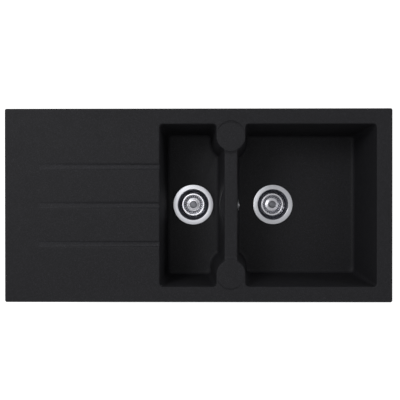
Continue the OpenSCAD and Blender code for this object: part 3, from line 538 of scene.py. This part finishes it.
def bowl(near, far, drain, bulges):
    """Rings of a bowl from its lip down, as one array (rings, points, 3). The lip is a quarter round from
    the deck's own height, the wall is inset by (7 - z) tan 4 degrees, a fillet turns it to the floor,
    and the floor falls evenly along rays to the flat round, the seat and the waste's hole."""
    way = 1 if far > near else -1
    length = way * (far - near)
    middle = np.array([way * (drain[0] - near), 0])
    floor_z = drain[2] + FLOOR_FALL
    foot_z = floor_z + FOOT_R
    lean = math.tan(math.radians(WALL_LEAN_DEG))
    foot_d = (WALL_TOP - foot_z) * lean
    foot_run = FOOT_R * (1 - math.sin(math.radians(WALL_LEAN_DEG)))
    rings = []

    def ring(d, corner, z, bulge_at=None):
        rings.append(lifted(bowl_plan(length, d, corner, bulge_at), z))

    def placed(points):
        return points * [way, 1, 1] + [near, 0, 0]

    lip = placed(lifted(bowl_plan(length, -LIP_R, CORNER_TOP_R + LIP_R), 0))
    lip_z = deck_z(lip[:, 0], lip[:, 1])
    for a in np.radians(np.linspace(0, 90, LIP_STEPS + 1)):
        out = LIP_R * (1 - math.sin(a))
        ring(-out, CORNER_TOP_R + out, lip_z - LIP_R * (1 - math.cos(a)))
    last_z = foot_z + ABOVE_FOOT
    for z in [h for h in WALL_HEIGHTS if h > last_z] + [last_z]:
        d = (WALL_TOP - z) * lean
        corner = CORNER_TOP_R + (CORNER_FOOT_R - CORNER_TOP_R) * (WALL_TOP - z) / (WALL_TOP - foot_z)
        ring(d, corner, z, (lambda v: bulge_front(v, z, d)) if bulges else None)
    for a in np.radians(np.linspace(0, 90, FOOT_STEPS + 1)):
        ring(foot_d + foot_run * (1 - math.cos(a)), CORNER_FOOT_R, foot_z - FOOT_R * math.sin(a))
    edge = rings[-1]
    ray = edge[:, :2] - middle
    ray = ray / np.linalg.norm(ray, axis=1, keepdims=True)
    flat = lifted(middle + FLAT_ROUND_R * ray, drain[2])
    for share in np.linspace(0, 1, FLOOR_STEPS + 1)[1:]:
        rings.append(edge + (flat - edge) * share)
    for r, z in WASTE_SEAT:
        rings.append(lifted(middle + r * ray, drain[2] + z))
    return np.stack([placed(points) for points in rings])


# The rim: points along its sides, steps round its corners and up its rolled edge, and the chamfer below
RIM_POINTS_X = 183
RIM_POINTS_Y = 91
RIM_CORNER_STEPS = 6
ROLL_STEPS = 6
CHAMFER_W = 0.5
CHAMFER_H = 1.0


def rim_plan(inset):
    """The rim's plan, inset from its edge: straight sides and corners of radius 5 less the inset."""
    r = CORNER_R - inset
    x, y = RIM_X - CORNER_R, RIM_Y - CORNER_R
    along_x = np.linspace(1, -1, RIM_POINTS_X + 2)[1:-1]
    along_y = np.linspace(1, -1, RIM_POINTS_Y + 2)[1:-1]
    return np.concatenate([
        arc((x, y), r, 0, 90, RIM_CORNER_STEPS),
        np.stack([x * along_x, np.full_like(along_x, y + r)], -1),
        arc((-x, y), r, 90, 180, RIM_CORNER_STEPS),
        np.stack([np.full_like(along_y, -x - r), y * along_y], -1),
        arc((-x, -y), r, 180, 270, RIM_CORNER_STEPS),
        np.stack([-x * along_x, np.full_like(along_x, -y - r)], -1),
        arc((x, -y), r, 270, 360, RIM_CORNER_STEPS),
        np.stack([np.full_like(along_y, x + r), -y * along_y], -1)])


def rolled_edge():
    """Rings of the rim's edge from the deck down: a quarter round, inset r (1 - cos a) and down by
    r (1 - sin a) with r = 2.5, then the upright side and a small chamfer at its foot."""
    plan = rim_plan(EDGE_R)
    top = deck_z(plan[:, 0], plan[:, 1])
    rings = []
    for a in np.radians(np.linspace(90, 0, ROLL_STEPS + 1)):
        rings.append(lifted(rim_plan(EDGE_R * (1 - math.cos(a))), top - EDGE_R * (1 - math.sin(a))))
    rings.append(lifted(rim_plan(0), CHAMFER_H))
    rings.append(lifted(rim_plan(CHAMFER_W), 0.0))
    return np.stack(rings)


# The deck's net: counts and inset of its grid, the gap it keeps to the channels' lines, the radii between
# which rounds about the ledges take its place, the rounds' radii, closest where the ledge's edge turns,
# and their points, the gaps that all these keep to the rim's and the bowls' loops, and the gap under
# which the net takes two points for one
GRID_COUNTS = (182, 90)
GRID_INSET = 6.5
GRID_TO_LINE = 1.6
LEDGE_HOLE = (35.2, 47.8)
LEDGE_ROUNDS = (36.4, 36.9, 37.4, 37.9, 38.4, 39.0, 39.8, 40.8, 42.0, 43.4, 45.0, 46.6)
ROUND_POINTS = 120
LOOP_GAPS = (2.0, 1.1, 1.1)
NET_TOLERANCE = 0.00001


def on_deck(points, loops):
    """Which points lie within the rim's loop and outside the two bowls' loops."""
    rim, main, half = loops
    return within(points, rim) & ~within(points, main) & ~within(points, half)


def deck_points(loops):
    """Points for the deck's net: a grid with rows along the channels' sides, and rounds about the ledges,
    stretched outwards as the ledges are."""
    x_end, y_end = RIM_X - GRID_INSET, RIM_Y - GRID_INSET
    xs = np.linspace(-x_end, x_end, GRID_COUNTS[0])
    ys = np.linspace(-y_end, y_end, GRID_COUNTS[1])
    ys = ys[(np.abs(ys[:, None] - CHANNEL_LINES) > GRID_TO_LINE).all(1)]
    ys = np.sort(np.concatenate([ys, CHANNEL_LINES]))
    grid = np.stack(np.meshgrid(xs, ys), -1).reshape(-1, 2)
    r = ledge_radius(grid[:, 0], grid[:, 1])
    grid = grid[(r < LEDGE_HOLE[0]) | (r > LEDGE_HOLE[1])]
    last = 360 - 360 / ROUND_POINTS
    rounds = np.concatenate([arc((0, 0), r, 0, last, ROUND_POINTS - 1) for r in LEDGE_ROUNDS])
    rounds[:, 1] *= np.where(rounds[:, 1] > 0, LEDGE_STRETCH, 1)
    rounds = np.concatenate([rounds * [1, way] + [BRIDGE_X, way * LEDGE_Y] for way in (-1, 1)])
    points = np.concatenate([grid, rounds])
    points = points[on_deck(points, loops)]
    for loop, gap in zip(loops, LOOP_GAPS):
        points = points[~near_loop(points, loop, gap)]
    return points


def deck_net(loops):
    """Points and triangles of the deck: a Delaunay net that keeps the loops' lines, each point lifted to
    deck_z and each triangle turned to face up."""
    edges = []
    start = 0
    for loop in loops:
        n = len(loop)
        edges += [(start + i, start + (i + 1) % n) for i in range(n)]
        start += n
    plan = np.concatenate(loops + [deck_points(loops)])
    net = delaunay_2d_cdt([Vector(p) for p in plan.tolist()], edges, [], 0, NET_TOLERANCE)
    v = np.array([(p.x, p.y) for p in net[0]])
    f = np.array([t for t in net[2] if len(t) == 3])
    f = f[on_deck(v[f].mean(1), loops)]
    e1, e2 = v[f[:, 1]] - v[f[:, 0]], v[f[:, 2]] - v[f[:, 0]]
    facing_down = e1[:, 0] * e2[:, 1] - e1[:, 1] * e2[:, 0] < 0
    f[facing_down] = f[facing_down][:, ::-1]
    return lifted(v, deck_z(v[:, 0], v[:, 1])), f


def moulding_top():
    """The moulding's visible skin: the deck's net, with the rolled edge outside it and the lofted bowls
    inside. The attribute channel holds the share of a channel's floor at each point, where the composite
    paints light."""
    main = bowl(MAIN_NEAR, MAIN_FAR, DRAINS["main"], False)
    half = bowl(HALF_NEAR, HALF_FAR, DRAINS["half"], True)
    deck, triangles = deck_net([rim_plan(EDGE_R), main[0][:, :2], half[0][:, :2]])
    parts, faces, start = [deck], triangles.tolist(), len(deck)
    for rings, flip in ((rolled_edge(), True), (main, False), (half, True)):
        count, points, _ = rings.shape
        faces += bands(count, points, start, flip).tolist()
        parts.append(rings.reshape(-1, 3))
        start += count * points
    skin = piece("sink_moulding_top", np.concatenate(parts), faces, COMPOSITE, sharp=50.0)
    x, y, z = points_of(skin.data).T / MM
    share = skin.data.attributes.new("channel", "FLOAT", "POINT")
    share.data.foreach_set("value", (channel(x, y) * (z > 0)).astype(np.float32))
    return skin


def rest_of(node, skin, name, material, far):
    """The CAD node's own faces, merged, without those that the skin covers: a face goes where the skin
    is nearer than far to its middle and faces alike."""
    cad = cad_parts[node]
    turn = np.array(cad.matrix_world)
    co = points_of(cad.data) @ turn[:3, :3].T + turn[:3, 3]
    skin_points = [v.co for v in skin.data.vertices]
    tree = BVHTree.FromPolygons(skin_points, [tuple(p.vertices) for p in skin.data.polygons])
    faces = []
    for polygon in cad.data.polygons:
        corners = list(polygon.vertices)
        a, b, c = (Vector(co[i]) for i in corners[:3])
        normal = (b - a).cross(c - a).normalized()
        _, facing, _, gap = tree.find_nearest(Vector(co[corners].mean(0)))
        if gap > far * MM or facing.dot(normal) < ALIKE:
            faces.append(corners)
    return piece(name, co / MM, faces, material, sharp=40.0)


def stands_for(node, body, finish, *objects):
    """These pieces show one CAD node: they ride on its body, and the node itself is hidden."""
    for shown in objects:
        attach(shown, body)
        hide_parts(node)


top = moulding_top()
underside = rest_of("sink_body", top, "sink_moulding_underside", COMPOSITE, BODY_GAP)
stands_for("sink_body", "sink", "composite", top, underside)


# Wastes. Profiles are (radius, height), with heights from the drain's flat round
def filleted(points, radii, n=5):
    """An open profile with its inner corners rounded. Each becomes an arc of n steps that touches both its
    sides, about a middle that lies r / sin(half the corner's angle) along the angle's bisector."""
    p = np.asarray(points, float)
    out = [p[:1]]
    t = np.linspace(0, 1, n + 1)[:, None]
    for a, b, c, r in zip(p, p[1:], p[2:], radii):
        u, w = (a - b) / np.linalg.norm(a - b), (c - b) / np.linalg.norm(c - b)
        half = math.acos(float(u @ w)) / 2
        middle = b + (u + w) / np.linalg.norm(u + w) * r / math.sin(half)
        chord = (b - middle) + (u * (1 - t) + w * t) * r / math.tan(half)
        out.append(middle + chord / np.linalg.norm(chord, axis=1, keepdims=True) * r)
    return np.concatenate(out + [p[-1:]])


def turned(name, centre, profile, material, n=192):
    """A profile turned round a drain's axis: (x + r cos a, y + r sin a, z + height) for n angles a."""
    a = np.radians(np.arange(n) * 360.0 / n)
    r, height = profile[:, :1], profile[:, 1:]
    rings = np.stack([centre[0] + r * np.cos(a), centre[1] + r * np.sin(a), centre[2] + height + 0 * a], -1)
    return piece(name, rings.reshape(-1, 3), bands(len(profile), n), material)


# The cup: underside of the flange, its rolled edge, cone, wall, floor and outlet, and back outside
CUP_PROFILE = filleted(
    [(50, -0.5), (57, -0.5), (57, 0.4), (44.5, 0.9), (35, -12), (35, -38), (22, -38), (22, -39),
     (36, -39), (36, -12.4), (44.9, -0.5), (50, -0.5)],
    (0.05, 0.7, 0.8, 3.0, 2.5, 0.4, 0.3, 3.0, 3.0, 0.4))

# The knob with its stem: foot, waist, grip and dished top
KNOB_PROFILE = filleted(
    [(0, -38.8), (3, -38.8), (3, -32.5), (9.5, -32.5), (9.5, -31), (6.5, -28.5), (6, -23.5), (9.5, -14),
     (10.5, -13), (10.5, -11), (9.5, -10), (8.5, -10), (7.7, -11.2), (0, -10.4)],
    (0.4, 0.3, 0.3, 0.8, 4.0, 8.0, 1.5, 1.0, 1.0, 0.8, 0.5, 0.6))

# The basket's slots: number, half width, highest and lowest point, and how far their round ends bend
SLOTS = 24
SLOT_HALF_W = 1.3
SLOT_TOP = -17.0
SLOT_FOOT = -32.0
SLOT_BEND = 0.95 * SLOT_HALF_W

# The basket's leaning wall: (radius, height) at the foot of its inner and outer face, and how much
# each face leans out for how much it rises
WALL_IN_FOOT = (21.0, -32.8)
WALL_IN_LEAN = (1.0, 3.0)
WALL_OUT_FOOT = (21.8, -33.2)
WALL_OUT_LEAN = (6.0, 17.8)

# Points down a slot and columns across it, and columns from one slot to the next
SLOT_ROWS = 8
SLOT_COLUMNS = 4
PITCH_COLUMNS = 12


def wall_in(z):
    """Radius of the wall's inner face at the height z: the foot's radius plus the lean's share of the
    height above it."""
    return WALL_IN_FOOT[0] + (z - WALL_IN_FOOT[1]) * WALL_IN_LEAN[0] / WALL_IN_LEAN[1]


def wall_out(z):
    """Radius of the wall's outer face at the height z, in the same way."""
    return WALL_OUT_FOOT[0] + (z - WALL_OUT_FOOT[1]) * WALL_OUT_LEAN[0] / WALL_OUT_LEAN[1]


def basket_profile():
    """The closed profile of the basket's steel, from the rim down inside and up outside, and its rows at
    which the slots start on the inner and on the outer face."""
    z = np.linspace(SLOT_TOP - SLOT_BEND, SLOT_FOOT + SLOT_BEND, SLOT_ROWS)
    rim = filleted([(32.5, -16), (32.5, -14), (27.27, -14), (wall_in(-16.6), -16.6)], (1.2, 1.4))
    floor = filleted(
        [(wall_in(-32.02), -32.02), (21, -32.8), (19, -34), (12, -32.5), (3.3, -32.5), (3.3, -33.3),
         (12, -33.3), (19.4, -34.8), (21.8, -33.2), (wall_out(-32.3), -32.3)],
        (2, 2, 6, 0.2, 0.2, 5, 2.5, 2.5))
    under = filleted(
        [(wall_out(-16.6), -16.6), (28.0, -14.8), (31.7, -14.8), (31.7, -16), (32.5, -16)], (0.8, 0.4, 0.1))
    inner = np.stack([wall_in(z), z], -1)
    outer = np.stack([wall_out(z), z], -1)[::-1]
    profile = np.concatenate([rim, inner, floor, outer, under])
    return profile, len(rim), len(rim) + SLOT_ROWS + len(floor)


def basket(name, centre, material):
    """The basket's profile turned. In each pitch 4 of 12 columns follow a slot: on the radius r they
    stand at asin(w / r) for widths w across it, and its end rows are bent to half circles. The
    slots' cells are left out on both faces of the wall, and bands join the two openings' edges."""
    profile, inner, outer = basket_profile()
    last = SLOT_ROWS - 1
    pitch = 2 * math.pi / SLOTS
    across = 2 * np.arange(SLOT_COLUMNS) / SLOT_COLUMNS - 1
    wide_r = np.maximum(profile[:, :1], WALL_IN_FOOT[0])
    edge = np.arcsin(SLOT_HALF_W / wide_r)
    steel = PITCH_COLUMNS - SLOT_COLUMNS
    angle = np.concatenate([
        np.arcsin(SLOT_HALF_W * across / wide_r),
        edge + (pitch - 2 * edge) * np.arange(steel) / steel], 1)
    r, h = (np.repeat(profile[:, k:k + 1], PITCH_COLUMNS, 1) for k in (0, 1))
    bend = SLOT_BEND * np.sqrt(1 - across * across)
    for row, way in ((inner, 1), (inner + last, -1), (outer, -1), (outer + last, 1)):
        h[row, :SLOT_COLUMNS] += way * bend
        r[row, :SLOT_COLUMNS] += way * bend * WALL_IN_LEAN[0] / WALL_IN_LEAN[1]
    n = PITCH_COLUMNS * SLOTS
    a = (angle[:, None, :] + pitch * np.arange(SLOTS)[:, None]).reshape(-1, n)
    r, h = np.tile(r, SLOTS), np.tile(h, SLOTS)
    rings = np.stack([centre[0] + r * np.cos(a), centre[1] + r * np.sin(a), centre[2] + h], -1)
    k, i = np.meshgrid(np.arange(len(profile) - 1), np.arange(n), indexing="ij")
    on_wall = ((k >= inner) & (k < inner + last)) | ((k >= outer) & (k < outer + last))
    hole = (i % PITCH_COLUMNS < SLOT_COLUMNS) & on_wall
    faces = bands(len(profile), n)[~hole.ravel()]
    loop = [(0, c) for c in range(SLOT_COLUMNS)] + [(q, SLOT_COLUMNS) for q in range(last)]
    loop += [(last, c) for c in range(SLOT_COLUMNS, 0, -1)] + [(q, 0) for q in range(last, 0, -1)]
    loop = np.array(loop)
    column = (loop[:, 1] + PITCH_COLUMNS * np.arange(SLOTS)[:, None]) % n
    inside = (inner + loop[:, 0]) * n + column
    outside = (outer + last - loop[:, 0]) * n + column
    edges = np.stack([inside, np.roll(inside, -1, 1), np.roll(outside, -1, 1), outside], -1).reshape(-1, 4)
    return piece(name, rings.reshape(-1, 3), np.concatenate([faces, edges]), material)


for side, drain in DRAINS.items():
    cup = turned(side + "_cup_turned", drain, CUP_PROFILE, CUP_STEEL_AND_SHADE[side])
    spider = rest_of(side + "_strainer_cup", cup, side + "_cup_spider", CUP_STEEL_AND_SHADE[side], CUP_GAP)
    stands_for(side + "_strainer_cup", "sink", "cup_steel", cup, spider)
    unit = side + "_basket_unit"
    slotted = basket(side + "_basket_slotted", drain, BASKET_STEEL[side])
    stands_for(side + "_basket", unit, "basket_steel", slotted)
    knob = turned(side + "_knob_turned", drain, KNOB_PROFILE, KNOB_STEEL[side], n=96)
    stands_for(side + "_basket_knob", unit, "knob_steel", knob)


# Materials of the CAD nodes
CLIPS = 8
NODE_MATERIALS = {
    "rim_seal": FOAM,
    "clip_inserts": BRASS,
    "clip_screws": SCREW_STEEL,
    "overflow_rose": CHROME,
    "overflow_screw": SCREW_STEEL,
    "overflow_gasket": RUBBER,
    "overflow_housing": BLACK_PLASTIC,
    "overflow_hose": HOSE_PLASTIC,
    "hose_clips": SCREW_STEEL,
}
for k in range(1, CLIPS + 1):
    NODE_MATERIALS["clip_%d" % k] = CLIP_STEEL
for side in DRAINS:
    NODE_MATERIALS[side + "_strainer_cup"] = CUP_STEEL_AND_SHADE[side]
    NODE_MATERIALS[side + "_flange_seal"] = RUBBER
    NODE_MATERIALS[side + "_body_seal"] = RUBBER
    NODE_MATERIALS[side + "_waste_body"] = BLACK_PLASTIC
    NODE_MATERIALS[side + "_waste_nut"] = BRASS
    NODE_MATERIALS[side + "_centre_screw"] = SCREW_STEEL
    NODE_MATERIALS[side + "_basket"] = BASKET_STEEL[side]
    NODE_MATERIALS[side + "_basket_seal"] = RUBBER
    NODE_MATERIALS[side + "_basket_knob"] = KNOB_STEEL[side]
    NODE_MATERIALS[side + "_basket_nut"] = BRASS
for node, material in NODE_MATERIALS.items():
    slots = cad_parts[node].data.materials
    slots.clear()
    slots.append(material)


# Studio
def lamp(name, place, aim, size, power):
    """A soft rectangular area lamp, places and sizes in metres and power in watts."""
    data = bpy.data.lights.new(name, "AREA")
    data.shape = "RECTANGLE"
    data.size, data.size_y = size
    data.energy = power
    made = bpy.data.objects.new(name, data)
    made.location = place
    made.rotation_euler = (Vector(aim) - Vector(place)).to_track_quat("-Z", "Y").to_euler()
    bpy.context.collection.objects.link(made)


# The key light from behind on the left, a weak light overhead that gives the steel its highlights, and
# a low one from the right
lamp("key_softbox", place=(-2.2, 1.4, 3.4), aim=(0.0, 0.0, 0.0), size=(1.6, 1.6), power=74.0)
lamp("over_softbox", place=(-0.4, 0.25, 2.4), aim=(-0.05, 0.0, -0.1), size=(0.9, 0.9), power=4.6)
lamp("side_softbox", place=(2.4, 0.8, 1.1), aim=(0.0, 0.0, 0.0), size=(1.5, 1.0), power=14.0)

WORLD_STRENGTH = 0.46
world = bpy.data.worlds.new("studio")
bpy.context.scene.world = world
world.use_nodes = True
world.node_tree.nodes.clear()
sky = add(world.node_tree, "Background", {"Color": linear("#ffffff"), "Strength": WORLD_STRENGTH})
add(world.node_tree, "OutputWorld", {"Surface": sky.outputs["Background"]})

# The floor: its gap to the sink, how far it reaches, where it starts to rise and how high, and its
# cells each way
FLOOR_GAP = 4.0
FLOOR_REACH = 30000.0
FLOOR_RISE_FROM = 22000.0
FLOOR_RISE = 5000.0
FLOOR_CELLS = 60


def pale_floor():
    """Pale matt board that takes the sink's shadow. It glows at 0.9 for camera, glossy and transmission
    rays, so that the background is white, and is clear from below, so that the underside shows."""
    made, t = empty_material("pale_floor")
    path = add(t, "LightPath").outputs
    seen = add(t, "Math", {0: path["Is Camera Ray"], 1: path["Is Glossy Ray"]}, operation="MAXIMUM")
    seen = add(t, "Math", {0: seen.outputs[0], 1: path["Is Transmission Ray"]}, operation="MAXIMUM")
    glow = add(t, "Math", {0: seen.outputs[0], 1: 0.9}, operation="MULTIPLY").outputs[0]
    board = add(t, "BsdfPrincipled", {
        "Base Color": linear("#a8a8a8"), "Roughness": 0.9,
        "Emission Color": linear("#ffffff"), "Emission Strength": glow})
    below = add(t, "NewGeometry").outputs["Backfacing"]
    clear = add(t, "BsdfTransparent").outputs["BSDF"]
    shown = add(t, "MixShader", {0: below, 1: board.outputs["BSDF"], 2: clear})
    add(t, "OutputMaterial", {"Surface": shown.outputs[0]})
    return made


def floor_sheet():
    """The floor on a square grid, level near the sink, rising far away by the smooth step of the distance
    into a backdrop for views from the side."""
    line = np.linspace(-FLOOR_REACH, FLOOR_REACH, FLOOR_CELLS + 1)
    x, y = np.meshgrid(line, line)
    low = size_before[0][2] / MM - FLOOR_GAP
    z = low + FLOOR_RISE * ease(np.hypot(x, y), FLOOR_RISE_FROM, FLOOR_REACH)
    row = FLOOR_CELLS + 1
    q = (np.arange(FLOOR_CELLS)[:, None] * row + np.arange(FLOOR_CELLS)).ravel()
    quads = np.stack([q, q + 1, q + row + 1, q + row], -1)
    return piece("floor", np.stack([x, y, z], -1).reshape(-1, 3), quads, pale_floor())


floor_sheet()

bpy.context.scene.view_settings.view_transform = "Standard"
